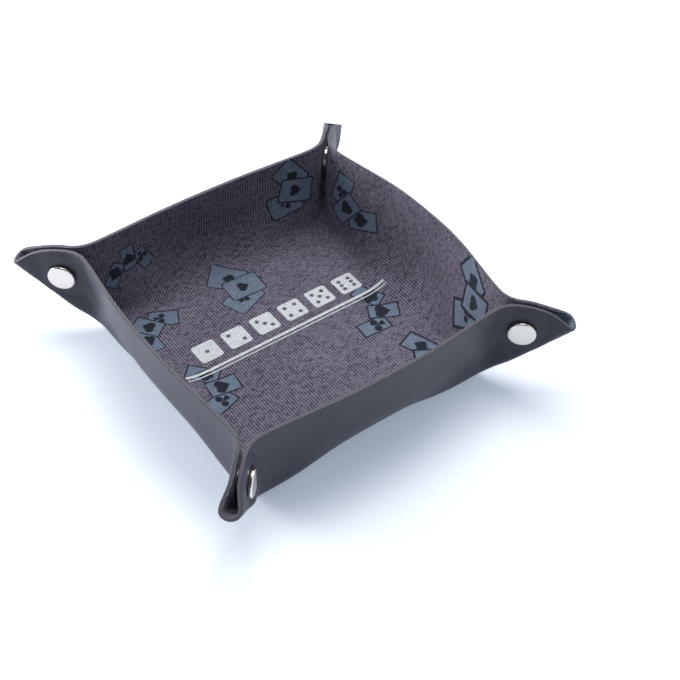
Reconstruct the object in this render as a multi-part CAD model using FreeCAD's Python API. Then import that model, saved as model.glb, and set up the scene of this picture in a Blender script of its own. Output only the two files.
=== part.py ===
import FreeCAD, Part
import math
import os

from FreeCAD import Vector

# Snap-corner dice tray: one square of leatherette with a fabric liner bonded inside it.
# Each corner is pinched into an ear by a ring-spring snap, which raises the four walls.
# Millimetres, Z up, origin on the table under the middle of the floor.
# X runs along the front wall, Y from the front wall to the back wall.

# The flat sheet
SHEET_HALF = 107.5          # half the side of the square, before it is set up
CORNER_ROUND = 34.4         # radius of the sheet's four corners
LEATHER = 1.1               # leatherette, outside
LINER = 0.6                 # ribbed fabric, inside

# The set-up shape, all measured on the glue face between leatherette and liner
FLOOR_HALF = 61.7           # middle of the floor to the corner where an ear fold begins
EAR_LEAN = math.radians(86.0)    # slope of a wall where it runs into an ear
FLOOR_SOFT = 10.0           # half width of the soft bend round a corner of the floor
EAR_SOFT = 7.5              # half width of the soft bends of an ear
LOOP_RADIUS = 3.5           # rounded fold at the outer end of an ear
LOOP_CLOSED = 7.7           # how far from the ridge a flank stands flat again
MID_REACH = 0.80            # share of a wall's width over which its middle shape fades out
PRESS_FLAT = 9.2            # radius round a snap that its plates hold flat
PRESS_FADE = 5.0            # width over which that flat spot dies out
EAR_START = 6.0             # how far inside the floor's corner the ear's own bends begin
EAR_RUN = 24.0              # length along the ridge over which they take over
EAR_WIDE = 28.0             # width off the ridge over which they give way to the wall's
EAR_KEEP = 1.5              # those widths off the ridge where nothing of them is left
SPREAD_START = 4.0          # how far inside the floor's corner an ear's loop begins
SPREAD_RUN = 26.0           # length along the ridge over which the loop opens
SPREAD_FADE = 6.0           # distance off the diagonal plane over which the loop's width dies out

# Each wall stands a little differently, as a bent sheet does:
# how far beyond the floor's corners its top edge is, and the radius it bends up with
RIM_BEYOND = {"right": 14.0, "left": 10.2, "back": 8.3, "front": 11.2}
MID_BEND = {"right": 24.8, "left": 33.0, "back": 20.0, "front": 32.9}
MID_SLOPE = {"right": 84.2, "left": 84.2, "back": 96.0, "front": 84.2}

# The snaps
SNAP_ALONG = 0.3746         # share of an ear's ridge between its tip and the snap, on the flat sheet
SNAP_FROM_RIDGE = 14.18     # snap axis from that ridge, on the flat sheet
RIVET_DIAMETER = 3.4        # barrel that holds a cap or a post through the sheet
RIVET_BORE = 2.0
CAP_DIAMETER = 12.5
CAP_HEIGHT = 2.2
CAP_ROLL = 0.8              # height of the cap's straight edge
CROWN = 0.62                # share of the cap's radius that its crown is level over
SOCKET_DIAMETER = 11.0
SOCKET_HEIGHT = 2.5
SOCKET_PLATE = 0.6          # plate that the cap's barrel is rolled over
SOCKET_MOUTH = 6.4          # opening that the stud enters
SOCKET_LIP = 0.55           # thickness of the lip in front of the spring
CHAMBER_DIAMETER = 7.6      # room for the spring behind the lip
SPRING_WIRE = 0.55
SPRING_OPEN = 25.0          # half of the ring spring's opening, degrees
STUD_FLANGE_DIAMETER = 9.6
STUD_FLANGE = 0.5
STUD_HEAD_DIAMETER = 4.9
STUD_NECK_DIAMETER = 4.1
STUD_REACH = 1.55           # stud head beyond its flange
STUD_HEAD = 0.2             # height of the wide head
POST_DIAMETER = 9.0
POST_HEIGHT = 0.9
BEVEL = 0.3                 # taper on the stud's head
SEAT = 0.02                 # air between faces that seat on one another
SNAP_AIR = 0.1              # air between the two halves of a closed snap
GRIP_AIR = 0.05             # air between the spring and the stud's neck

# Lines of the net that the sheet is drawn with, on the flat sheet
BEND_LINES = [-25.7, -15.7, -8.2, -2.2, 3.8, 9.8]   # from the floor's corners outwards
WALL_LINE = 0.356           # one line at this share of a wall's height
SNAP_LINES = [-6.1, 5.9]    # either side of the snaps
WALL_SHARES = [0.0, 0.25, 0.5, 0.7, 0.86]           # from a wall's middle to its crease
CREASE_LINES = [-2.5, 3.2]                          # either side of a crease
LOOP_STEPS = 3                                      # flats in a quarter turn of an ear's loop
EAR_ROOT = 8.0              # width left for an ear's lines at the floor's corner
SAMPLES = 9                 # samples across a soft bend
SLOPE_STEP = 0.4            # step over which the slope of the sheet is taken
JOIN = 0.002                # distance within which corners of facets are one corner

# What follows from the sizes above
ROOT2 = math.sqrt(2.0)
WALLS = ["right", "back", "left", "front"]
# Sign of X and Y of each ear, and the wall whose flank carries the cap
EARS = {
    "front_left": (-1, -1, "front"),
    "front_right": (1, -1, "front"),
    "back_right": (1, 1, "back"),
    "back_left": (-1, 1, "left"),
}
POCKET = SOCKET_HEIGHT + SNAP_AIR + STUD_FLANGE + 2 * SEAT    # liner to liner at a snap
EAR_GAP = POCKET + 2 * LINER                       # glue face to glue face at a snap
CREASE = math.atan(math.cos(EAR_LEAN))             # swing of an ear's crease on the flat sheet
TIP = ROOT2 * (SHEET_HALF - CORNER_ROUND) + CORNER_ROUND      # from the middle to the sheet's tip
SNAP_RIDGE = TIP - SNAP_ALONG * (TIP - ROOT2 * FLOOR_HALF)    # from the middle to abreast of a snap
SNAP_LINE = (SNAP_RIDGE + SNAP_FROM_RIDGE) / ROOT2            # a snap's greater flat coordinate
ROW_LINES = [FLOOR_HALF + line for line in BEND_LINES]
ROW_LINES.append(FLOOR_HALF + WALL_LINE * (SHEET_HALF - FLOOR_HALF))
ROW_LINES += [SNAP_LINE + line for line in SNAP_LINES]


def smooth(t):
    """0 below 0, 1 above 1, and a soft S between."""
    t = min(max(t, 0.0), 1.0)
    return t * t * t * (t * (6 * t - 15) + 10)


def sharp_fold(u, v):
    """Where a point of the flat sheet goes if every fold is a sharp crease.

    The corner of a snapped tray has three facets: floor, wall and ear flank. The flank
    hangs on the crease that leaves the floor's corner, and lies in the diagonal plane.
    """
    along, across = abs(u), abs(v)
    swap = across > along
    if swap:
        along, across = across, along
    lean_x, lean_z = math.cos(EAR_LEAN), math.sin(EAR_LEAN)
    rise = max(along - FLOOR_HALF, 0.0)
    x = min(along, FLOOR_HALF) + rise * lean_x
    y = across
    z = rise * lean_z
    sin_c, cos_c = math.sin(CREASE), math.cos(CREASE)
    beyond = (across - FLOOR_HALF) * cos_c - (along - FLOOR_HALF) * sin_c
    if beyond > 0:
        crease = (cos_c * lean_x, sin_c, cos_c * lean_z)
        # unit vector in the diagonal plane, square to the crease
        flank = (crease[2] / ROOT2, crease[2] / ROOT2, -(crease[0] + crease[1]) / ROOT2)
        x += beyond * (flank[0] + sin_c * lean_x)
        y += beyond * (flank[1] - cos_c)
        z += beyond * (flank[2] + sin_c * lean_z)
    if swap:
        x, y = y, x
    return math.copysign(x, u), math.copysign(y, v), z


def snap_place():
    """How far out along the diagonal, and how high, the axes of the snaps are."""
    x, y, z = sharp_fold(SNAP_LINE, SNAP_LINE - ROOT2 * SNAP_FROM_RIDGE)
    return (x + y) / ROOT2, z


SNAP_OUT, SNAP_UP = snap_place()


def bend_weights():
    """Offsets and weights that turn a sharp crease into a soft bend."""
    steps = [(2 * k + 1) / SAMPLES - 1 for k in range(SAMPLES)]
    weights = [1 - s * s for s in steps]
    total = sum(weights)
    return [(s, w / total) for s, w in zip(steps, weights)]


BEND = bend_weights()


def soft_fold(u, v, softness):
    """The sharp fold, averaged over a square of the flat sheet."""
    x = y = z = 0.0
    for du, wu in BEND:
        for dv, wv in BEND:
            px, py, pz = sharp_fold(u + du * softness, v + dv * softness)
            x += wu * wv * px
            y += wu * wv * py
            z += wu * wv * pz
    return x, y, z


def wall_profile(u, wall):
    """Section through the middle of a wall: flat floor, one arc, then straight up."""
    bend, reach = MID_BEND[wall], FLOOR_HALF + RIM_BEYOND[wall]
    slope = math.radians(MID_SLOPE[wall])
    arc = bend * slope
    straight = (SHEET_HALF - arc) * math.cos(slope)
    start = (reach - bend * math.sin(slope) - straight) / (1 - math.cos(slope))
    turn = min(max(u - start, 0.0), arc) / bend
    over = max(u - start - arc, 0.0)
    x = min(u, start) + bend * math.sin(turn) + over * math.cos(slope)
    z = bend * (1 - math.cos(turn)) + over * math.sin(slope)
    return x, z


def ear_spread(from_ridge, along_ridge):
    """How far a flank of an ear stands off the diagonal plane: a loop, then a slot."""
    loop = LOOP_RADIUS * math.sin(min(from_ridge / LOOP_RADIUS, math.pi / 2))
    closing = smooth((from_ridge - LOOP_RADIUS) / (LOOP_CLOSED - LOOP_RADIUS))
    spread = loop + (EAR_GAP / 2 - LOOP_RADIUS) * closing
    return spread * smooth((along_ridge + SPREAD_START) / SPREAD_RUN)


def glue_face(u, v):
    """The set-up sheet: flat coordinates to a point on the glue face."""
    swap = abs(v) > abs(u)
    along, across = (v, u) if swap else (u, v)
    names = ("back", "front") if swap else ("right", "left")
    wall = names[0] if along > 0 else names[1]
    a, c = abs(along), abs(across)
    from_ridge = (a - c) / ROOT2
    along_ridge = (a + c) / ROOT2 - ROOT2 * FLOOR_HALF
    in_ear = smooth((along_ridge + EAR_START) / EAR_RUN) * smooth(EAR_KEEP - from_ridge / EAR_WIDE)
    softness = FLOOR_SOFT + (EAR_SOFT - FLOOR_SOFT) * in_ear
    x, y, z = soft_fold(a, c, softness)
    mid_x, mid_z = wall_profile(a, wall)
    fold = smooth(c / max(a, 1e-6) / MID_REACH)
    x = mid_x + (x - mid_x) * fold
    y = c + (y - c) * fold
    z = mid_z + (z - mid_z) * fold
    off_plane = max((x - y) / ROOT2, 0.0)
    off_plane += ear_spread(from_ridge, along_ridge) * math.exp(-off_plane / SPREAD_FADE)
    diagonal = (x + y) / ROOT2
    from_snap = math.hypot(diagonal - SNAP_OUT, z - SNAP_UP)
    held = 1 - smooth((from_snap - PRESS_FLAT) / PRESS_FADE)
    off_plane += (EAR_GAP / 2 - off_plane) * held
    x, y = (diagonal + off_plane) / ROOT2, (diagonal - off_plane) / ROOT2
    x, y = math.copysign(x, along), math.copysign(y, across)
    if swap:
        x, y = y, x
    return Vector(x, y, z)


def outward(u, v):
    """Unit normal of the glue face, towards the leatherette."""
    du = glue_face(u + SLOPE_STEP, v) - glue_face(u - SLOPE_STEP, v)
    dv = glue_face(u, v + SLOPE_STEP) - glue_face(u, v - SLOPE_STEP)
    return dv.cross(du).normalize()


def within_sheet(along, across):
    """True where a flat point lies inside the rounded square."""
    middle = SHEET_HALF - CORNER_ROUND
    if along > SHEET_HALF:
        return False
    return across < middle or math.hypot(along - middle, across - middle) < CORNER_ROUND


def columns(along):
    """Where the net's upright lines cross a row, from the middle of a wall to the ridge."""
    crease = FLOOR_HALF + (along - FLOOR_HALF) * math.tan(CREASE)
    ear = math.hypot(EAR_ROOT, max(along - crease, 0.0))
    room = min(ear / (LOOP_CLOSED * ROOT2 + 2 * CREASE_LINES[-1]), 1.0)
    crease = along - ear
    flat = [share * crease for share in WALL_SHARES]
    flat += [crease + line * room for line in CREASE_LINES]
    quarter = LOOP_RADIUS * math.pi / 2
    loop = [LOOP_CLOSED]
    loop += [quarter * step / LOOP_STEPS for step in range(LOOP_STEPS, -1, -1)]
    return flat + [along - distance * ROOT2 * room for distance in loop]


def edge_of_column(column):
    """Flat distance at which an upright line runs off the sheet."""
    inside, outside = ROW_LINES[-2], SHEET_HALF + LEATHER
    while outside - inside > 1e-6:
        middle = (inside + outside) / 2
        if within_sheet(middle, columns(middle)[column]):
            inside = middle
        else:
            outside = middle
    return inside


def half_wall():
    """Flat (along, across) points of half a wall: one list per row, the last on the edge."""
    count = len(columns(SHEET_HALF))
    edges = [edge_of_column(column) for column in range(count)]
    last = ROW_LINES[-2]
    share = (ROW_LINES[-1] - last) / (SHEET_HALF - last)
    rows = [[(line, across) for across in columns(line)] for line in ROW_LINES[:-1]]
    for part in (share, 1.0):
        row = []
        for column, edge in enumerate(edges):
            along = last + (edge - last) * part
            row.append((along, columns(along)[column]))
        rows.append(row)
    return rows


def flat_rings():
    """The whole net on the flat sheet: closed rings, anticlockwise from the right wall's middle."""
    turns = {"right": (1, 0, 0, 1), "back": (0, -1, 1, 0), "left": (-1, 0, 0, -1), "front": (0, 1, -1, 0)}
    rings = []
    for row in half_wall():
        wall_row = [(along, -across) for along, across in reversed(row[1:])] + row[:-1]
        ring = []
        for wall in WALLS:
            xx, xy, yx, yy = turns[wall]
            ring += [(xx * a + xy * c, yx * a + yy * c) for a, c in wall_row]
        rings.append(ring)
    return rings


FLAT = flat_rings()
GLUE = [[glue_face(u, v) for u, v in ring] for ring in FLAT]
NORMAL = [[outward(u, v) for u, v in ring] for ring in FLAT]


def sheet_layer(inner, outer):
    """A closed sheet between two offsets of the glue face, drawn with flat facets."""
    rows, count = len(GLUE), len(GLUE[0])
    points = []
    for offset in (inner, outer):
        for glue, normal in zip(GLUE, NORMAL):
            points += [p + n * offset for p, n in zip(glue, normal)]
        points.append(Vector(0, 0, -offset))
    side = rows * count + 1

    def quad(a, b, c, d):
        return [(a, b, c), (a, c, d)]

    facets = []
    for start, flip in ((0, False), (side, True)):
        centre = start + rows * count
        skin = []
        for k in range(count):
            after = (k + 1) % count
            skin.append((centre, start + k, start + after))
            rising = (k // (count // 8)) % 2 == 1
            for row in range(rows - 1):
                a, b = start + row * count + k, start + row * count + after
                corners = (a, a + count, b + count, b)
                skin += quad(*corners) if rising else quad(*corners[1:], corners[0])
        facets += [facet[::-1] for facet in skin] if flip else skin
    rim = (rows - 1) * count
    for k in range(count):
        a, b = rim + k, rim + (k + 1) % count
        facets += quad(a, a + side, b + side, b)
    shell = Part.Shape()
    shell.makeShapeFromMesh((points, facets), JOIN)
    solid = Part.makeSolid(shell.removeSplitter())
    if solid.Volume < 0:
        solid.reverse()
    return solid


def snap_frame(ear):
    """Placement of a snap: origin between the flanks, local Z out through the cap."""
    sx, sy, cap_wall = EARS[ear]
    centre = Vector(sx * SNAP_OUT / ROOT2, sy * SNAP_OUT / ROOT2, SNAP_UP)
    if cap_wall in ("front", "back"):
        axis = Vector(-sx, sy, 0) / ROOT2
    else:
        axis = Vector(sx, -sy, 0) / ROOT2
    turn = FreeCAD.Rotation(Vector(0, 0, 1), axis)
    return FreeCAD.Placement(centre, turn)


def turned(points):
    """Solid turned about local Z from a closed outline of (radius, height) pairs."""
    outline = Part.makePolygon([Vector(r, 0, z) for r, z in points + points[:1]])
    return Part.Face(outline).revolve(Vector(0, 0, 0), Vector(0, 0, 1), 360)


# Heights along a snap's axis, from the middle of the pocket between the flanks
CAP_SEAT = POCKET / 2 + LINER + LEATHER + SEAT     # outer face of a flank
SOCKET_BACK = POCKET / 2 - SEAT
SOCKET_FACE = SOCKET_BACK - SOCKET_HEIGHT
SOCKET_FLOOR = SOCKET_BACK - SOCKET_PLATE
STUD_BACK = -POCKET / 2 + SEAT
STUD_FACE = STUD_BACK + STUD_FLANGE
STUD_TIP = STUD_FACE + STUD_REACH
CHAMBER_FLOOR = SOCKET_FACE + SOCKET_LIP
SPRING_LEVEL = CHAMBER_FLOOR + SPRING_WIRE / 2 + GRIP_AIR
BARREL = RIVET_DIAMETER / 2
BARREL_HOLE = BARREL + SEAT


def snap_cap():
    """Domed cap, and the rivet barrel that joins it to its socket."""
    radius = CAP_DIAMETER / 2
    end = SOCKET_FLOOR - SEAT
    return turned([
        (BARREL, CAP_SEAT), (radius, CAP_SEAT), (radius, CAP_SEAT + CAP_ROLL),
        (radius * CROWN, CAP_SEAT + CAP_HEIGHT), (0, CAP_SEAT + CAP_HEIGHT), (0, end), (BARREL, end),
    ])


def snap_socket():
    """Female half: a cup on the liner with a lip, behind which the ring spring lies."""
    outer, mouth, chamber = SOCKET_DIAMETER / 2, SOCKET_MOUTH / 2, CHAMBER_DIAMETER / 2
    return turned([
        (BARREL_HOLE, SOCKET_BACK), (outer, SOCKET_BACK), (outer, SOCKET_FACE),
        (mouth, SOCKET_FACE), (mouth, CHAMBER_FLOOR), (chamber, CHAMBER_FLOOR),
        (chamber, SOCKET_FLOOR), (BARREL_HOLE, SOCKET_FLOOR),
    ])


def snap_spring():
    """Open oval ring of wire: its ends lie behind the lip, its flat sides grip the stud's neck."""
    wire = SPRING_WIRE / 2
    bend = STUD_NECK_DIAMETER / 2 + GRIP_AIR + wire
    shift = CHAMBER_DIAMETER / 2 - 2 * GRIP_AIR - wire - bend

    def on_end(side, degrees):
        angle = math.radians(degrees)
        return Vector(side * shift + bend * math.cos(angle), bend * math.sin(angle), SPRING_LEVEL)

    half_open = (90 + SPRING_OPEN) / 2
    path = Part.Wire([
        Part.Arc(on_end(1, SPRING_OPEN), on_end(1, half_open), on_end(1, 90)).toShape(),
        Part.makeLine(on_end(1, 90), on_end(-1, 90)),
        Part.Arc(on_end(-1, 90), on_end(-1, 180), on_end(-1, 270)).toShape(),
        Part.makeLine(on_end(-1, 270), on_end(1, 270)),
        Part.Arc(on_end(1, 270), on_end(1, 360 - half_open), on_end(1, 360 - SPRING_OPEN)).toShape(),
    ])
    start = on_end(1, SPRING_OPEN)
    aside = (start - Vector(shift, 0, SPRING_LEVEL)).normalize() * wire
    above = Vector(0, 0, wire)
    corners = [start + aside, start + above, start - aside, start - above, start + aside]
    return path.makePipeShell([Part.makePolygon(corners)], True, False)


def snap_stud():
    """Male half: a flange on the liner and a waisted hollow head."""
    flange, head, neck = STUD_FLANGE_DIAMETER / 2, STUD_HEAD_DIAMETER / 2, STUD_NECK_DIAMETER / 2
    return turned([
        (BARREL_HOLE, STUD_BACK), (flange, STUD_BACK), (flange, STUD_FACE), (neck, STUD_FACE),
        (neck, STUD_TIP - STUD_HEAD), (head, STUD_TIP - STUD_HEAD), (head - BEVEL, STUD_TIP),
        (BARREL_HOLE, STUD_TIP),
    ])


def snap_post():
    """Eyelet that rivets the stud on: a ring outside and a barrel through the sheet."""
    ring, bore = POST_DIAMETER / 2, RIVET_BORE / 2
    return turned([
        (BARREL, -CAP_SEAT), (ring, -CAP_SEAT), (ring, -CAP_SEAT - POST_HEIGHT),
        (bore, -CAP_SEAT - POST_HEIGHT), (bore, STUD_TIP), (BARREL, STUD_TIP),
    ])


SNAP_PIECES = {
    "cap": snap_cap,
    "socket": snap_socket,
    "spring": snap_spring,
    "stud": snap_stud,
    "post": snap_post,
}


def rivet_holes():
    """One pin per snap, as wide as the barrels, that is cut out of both layers."""
    length = 2 * (CAP_SEAT + CAP_HEIGHT)
    pins = []
    for ear in EARS:
        pin = Part.makeCylinder(RIVET_DIAMETER / 2 + SEAT, length, Vector(0, 0, -length / 2))
        pin.Placement = snap_frame(ear)
        pins.append(pin)
    return pins


def build():
    """Every piece of the tray, by name."""
    pins = rivet_holes()
    pieces = {
        "outer_leatherette": sheet_layer(0.0, LEATHER).cut(pins),
        "inner_liner": sheet_layer(-LINER, -SEAT).cut(pins),
    }
    for ear in EARS:
        for kind, make in SNAP_PIECES.items():
            piece = make()
            piece.Placement = snap_frame(ear)
            pieces[f"snap_{kind}_{ear}"] = piece
    return pieces


def main():
    """Stand the tray on the table and write one STEP file per piece."""
    os.makedirs("parts", exist_ok=True)
    for name, shape in build().items():
        shape = shape.copy()
        shape.translate(Vector(0, 0, LEATHER))
        solids = shape.Solids
        if len(solids) == 1:
            shape = solids[0]
        box = shape.BoundBox
        print(f"{name}: solids {len(solids)}, valid {shape.isValid()}, volume {shape.Volume:.1f}, "
              f"box {box.XLength:.1f} x {box.YLength:.1f} x {box.ZLength:.1f}, z {box.ZMin:.2f}")
        shape.exportStep(f"parts/{name}.step")


main()
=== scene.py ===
"""Dice tray with snap corners: the dressed model, its floor, its light and its camera."""

import logging
import math
from collections.abc import Callable
from dataclasses import dataclass, field
from enum import Enum

import bpy
import numpy as np
from mathutils import Matrix, Vector


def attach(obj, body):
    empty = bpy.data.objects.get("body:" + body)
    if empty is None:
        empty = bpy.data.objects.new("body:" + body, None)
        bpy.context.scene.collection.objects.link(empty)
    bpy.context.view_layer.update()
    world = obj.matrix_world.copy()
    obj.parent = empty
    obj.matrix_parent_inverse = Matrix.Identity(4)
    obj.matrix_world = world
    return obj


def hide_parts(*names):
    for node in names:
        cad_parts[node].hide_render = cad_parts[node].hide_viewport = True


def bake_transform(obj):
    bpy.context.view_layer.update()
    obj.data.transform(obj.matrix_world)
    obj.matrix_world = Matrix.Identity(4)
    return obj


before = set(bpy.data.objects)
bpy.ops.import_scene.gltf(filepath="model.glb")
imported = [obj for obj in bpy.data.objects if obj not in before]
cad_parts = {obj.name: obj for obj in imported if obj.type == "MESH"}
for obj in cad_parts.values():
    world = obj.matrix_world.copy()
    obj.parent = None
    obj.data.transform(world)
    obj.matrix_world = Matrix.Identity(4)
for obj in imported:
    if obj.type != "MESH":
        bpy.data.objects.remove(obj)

LOG = logging.getLogger("dice_tray")
MM = 0.001
ROOT2 = math.sqrt(2.0)
UV_NAME = "flat"
TINY = 1e-6
OCTANTS = 8
ORIGIN = (0.0, 0.0, 0.0)
MIDDLE = (0.5, 0.5, 0.0)

Colour = tuple[float, float, float]
Point = tuple[float, float, float]
Pair = tuple[float, float]
Profile = list[Pair]
Faces = list[tuple[int, ...]]


# Shapes


def smooth(t: np.ndarray) -> np.ndarray:
    """Give 0 below 0, 1 above 1, and a soft S between."""
    t = np.clip(t, 0.0, 1.0)
    return t * t * t * (t * (6 * t - 15) + 10)


class Wall(Enum):
    """The four walls, by the side of the tray that they stand on."""

    RIGHT = "right"
    BACK = "back"
    LEFT = "left"
    FRONT = "front"


@dataclass(frozen=True)
class Ear:
    """A pinched corner.

    The stud's half opens, and moves with its own body. The octant is the eighth of the
    sheet that opens with it, counted anticlockwise from the right wall's front half.
    """

    name: str
    side_x: int
    side_y: int
    cap_wall: Wall
    opening_octant: int

    @property
    def body(self) -> str:
        """Name the body that the stud's half of the ear moves with."""
        return f"stud_half_{self.name}"

    def diagonal(self) -> np.ndarray:
        """Give the level unit vector from the tray's middle to this corner."""
        return np.array([self.side_x, self.side_y, 0.0]) / ROOT2

    def cap_side(self) -> np.ndarray:
        """Find the way from between the flanks out through the cap.

        Returns:
            The level unit vector.
        """
        if self.cap_wall in (Wall.FRONT, Wall.BACK):
            return np.array([-self.side_x, self.side_y, 0.0]) / ROOT2
        return np.array([self.side_x, -self.side_y, 0.0]) / ROOT2


EARS = (
    Ear("front_left", -1, -1, Wall.FRONT, 5),
    Ear("front_right", 1, -1, Wall.FRONT, 0),
    Ear("back_right", 1, 1, Wall.BACK, 1),
    Ear("back_left", -1, 1, Wall.LEFT, 3),
)


@dataclass(frozen=True)
class SheetForm:
    """The set-up sheet as a formula: flat coordinates to points, in millimetres.

    All sizes are those of the glue face, between the leatherette and the liner.
    """

    half: float = 107.5
    corner_round: float = 34.4
    leather: float = 1.1
    liner: float = 0.6
    floor_half: float = 61.7
    ear_lean: float = math.radians(86.0)
    floor_soft: float = 10.0
    ear_soft: float = 7.5
    loop_radius: float = 3.5
    loop_closed: float = 18.0
    flank_gap: float = 2.6
    mid_reach: float = 0.80
    press_flat: float = 9.2
    press_fade: float = 5.0
    ear_start: float = 6.0
    ear_run: float = 24.0
    ear_wide: float = 28.0
    ear_keep: float = 1.5
    spread_start: float = 4.0
    spread_run: float = 26.0
    spread_fade: float = 6.0
    snap_up: float = 32.0
    snap_out: float = 100.5
    pocket: float = 3.14
    samples: int = 9
    slope_step: float = 0.4
    rim_out: dict[Wall, float] = field(default_factory=lambda: {
        Wall.RIGHT: 75.7, Wall.LEFT: 71.9, Wall.BACK: 70.0, Wall.FRONT: 72.9})
    mid_bend: dict[Wall, float] = field(default_factory=lambda: {
        Wall.RIGHT: 24.8, Wall.LEFT: 33.0, Wall.BACK: 20.0, Wall.FRONT: 32.9})
    mid_slope: dict[Wall, float] = field(default_factory=lambda: {
        Wall.RIGHT: 84.2, Wall.LEFT: 84.2, Wall.BACK: 96.0, Wall.FRONT: 84.2})

    @property
    def ear_gap(self) -> float:
        """Give the distance between the two glue faces at a snap."""
        return self.pocket + 2 * self.liner

    @property
    def crease(self) -> float:
        """Give the swing of an ear's crease on the flat sheet, in radians."""
        return math.atan(math.cos(self.ear_lean))

    def sharp_fold(self, u: np.ndarray, v: np.ndarray) -> np.ndarray:
        """Fold the flat sheet with sharp creases.

        Args:
            u: flat coordinate along X.
            v: flat coordinate along Y.

        Returns:
            The folded points, one row each.
        """
        swap = np.abs(v) > np.abs(u)
        along = np.where(swap, np.abs(v), np.abs(u))
        across = np.where(swap, np.abs(u), np.abs(v))
        lean_x, lean_z = math.cos(self.ear_lean), math.sin(self.ear_lean)
        rise = np.maximum(along - self.floor_half, 0.0)
        x = np.minimum(along, self.floor_half) + rise * lean_x
        y = across.copy()
        z = rise * lean_z
        sin_c, cos_c = math.sin(self.crease), math.cos(self.crease)
        beyond = (across - self.floor_half) * cos_c - (along - self.floor_half) * sin_c
        beyond = np.maximum(beyond, 0.0)
        crease = (cos_c * lean_x, sin_c, cos_c * lean_z)
        flank = (crease[2] / ROOT2, crease[2] / ROOT2, -(crease[0] + crease[1]) / ROOT2)
        x += beyond * (flank[0] + sin_c * lean_x)
        y += beyond * (flank[1] - cos_c)
        z += beyond * (flank[2] + sin_c * lean_z)
        x, y = np.where(swap, y, x), np.where(swap, x, y)
        return np.stack([np.copysign(x, u), np.copysign(y, v), z], axis=-1)

    def soft_fold(self, u: np.ndarray, v: np.ndarray, softness: np.ndarray) -> np.ndarray:
        """Average the sharp fold over a square of the flat sheet.

        Args:
            u: flat coordinate along X.
            v: flat coordinate along Y.
            softness: half the side of the square, at each point.

        Returns:
            The folded points, one row each.
        """
        steps = [(2 * k + 1) / self.samples - 1 for k in range(self.samples)]
        weights = [1 - s * s for s in steps]
        total = sum(weights)
        points = np.zeros((len(u), 3))
        for step_u, weight_u in zip(steps, weights):
            for step_v, weight_v in zip(steps, weights):
                share = weight_u * weight_v / total ** 2
                points += share * self.sharp_fold(u + step_u * softness, v + step_v * softness)
        return points

    def wall_profile(
        self, u: np.ndarray, reach: np.ndarray, bend: np.ndarray, slope: np.ndarray,
    ) -> tuple[np.ndarray, np.ndarray]:
        """Section a wall through its middle: flat floor, one arc, then straight up.

        Args:
            u: distance from the middle of the tray on the flat sheet.
            reach: how far out the wall's top edge is.
            bend: radius that the wall bends up with.
            slope: the wall's angle above the arc, in radians.

        Returns:
            Distance out and height of each point.
        """
        arc = bend * slope
        straight = (self.half - arc) * np.cos(slope)
        start = (reach - bend * np.sin(slope) - straight) / (1 - np.cos(slope))
        turn = np.clip(u - start, 0.0, arc) / bend
        over = np.maximum(u - start - arc, 0.0)
        x = np.minimum(u, start) + bend * np.sin(turn) + over * np.cos(slope)
        z = bend * (1 - np.cos(turn)) + over * np.sin(slope)
        return x, z

    def ear_spread(self, from_ridge: np.ndarray, along_ridge: np.ndarray) -> np.ndarray:
        """Spread a flank off the diagonal plane: a loop, then a slot.

        Args:
            from_ridge: distance from the ridge on the flat sheet.
            along_ridge: distance along the ridge from the floor's corner.

        Returns:
            The distance off the plane.
        """
        loop = self.loop_radius * np.sin(np.minimum(from_ridge / self.loop_radius, math.pi / 2))
        closing = smooth((from_ridge - self.loop_radius) / (self.loop_closed - self.loop_radius))
        spread = loop + (self.flank_gap / 2 - self.loop_radius) * closing
        return spread * smooth((along_ridge + self.spread_start) / self.spread_run)

    def glue_face(self, u: np.ndarray, v: np.ndarray) -> np.ndarray:
        """Set the flat sheet up.

        Args:
            u: flat coordinate along X.
            v: flat coordinate along Y.

        Returns:
            Points on the glue face, with the leatherette's underside at height zero.
        """
        swap = np.abs(v) > np.abs(u)
        along = np.where(swap, v, u)
        across = np.where(swap, u, v)
        reach, bend, slope = np.zeros(len(u)), np.zeros(len(u)), np.zeros(len(u))
        sides = {Wall.RIGHT: ~swap & (along > 0), Wall.LEFT: ~swap & (along <= 0),
                 Wall.BACK: swap & (along > 0), Wall.FRONT: swap & (along <= 0)}
        for wall, there in sides.items():
            reach[there] = self.rim_out[wall]
            bend[there] = self.mid_bend[wall]
            slope[there] = math.radians(self.mid_slope[wall])
        a, c = np.abs(along), np.abs(across)
        from_ridge = (a - c) / ROOT2
        along_ridge = (a + c) / ROOT2 - ROOT2 * self.floor_half
        in_ear = smooth((along_ridge + self.ear_start) / self.ear_run)
        in_ear = in_ear * smooth(self.ear_keep - from_ridge / self.ear_wide)
        softness = self.floor_soft + (self.ear_soft - self.floor_soft) * in_ear
        x, y, z = self.soft_fold(a, c, softness).T
        mid_x, mid_z = self.wall_profile(a, reach, bend, slope)
        fold = smooth(c / np.maximum(a, TINY) / self.mid_reach)
        x = mid_x + (x - mid_x) * fold
        y = c + (y - c) * fold
        z = mid_z + (z - mid_z) * fold
        off_plane = np.maximum((x - y) / ROOT2, 0.0)
        spread = self.ear_spread(from_ridge, along_ridge)
        off_plane = off_plane + spread * np.exp(-off_plane / self.spread_fade)
        diagonal = (x + y) / ROOT2
        from_snap = np.hypot(diagonal - self.snap_out, z - self.snap_up)
        held = 1 - smooth((from_snap - self.press_flat) / self.press_fade)
        off_plane = off_plane + (self.ear_gap / 2 - off_plane) * held
        x, y = (diagonal + off_plane) / ROOT2, (diagonal - off_plane) / ROOT2
        x, y = np.copysign(x, along), np.copysign(y, across)
        x, y = np.where(swap, y, x), np.where(swap, x, y)
        return np.stack([x, y, z + self.leather], axis=-1)

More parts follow.
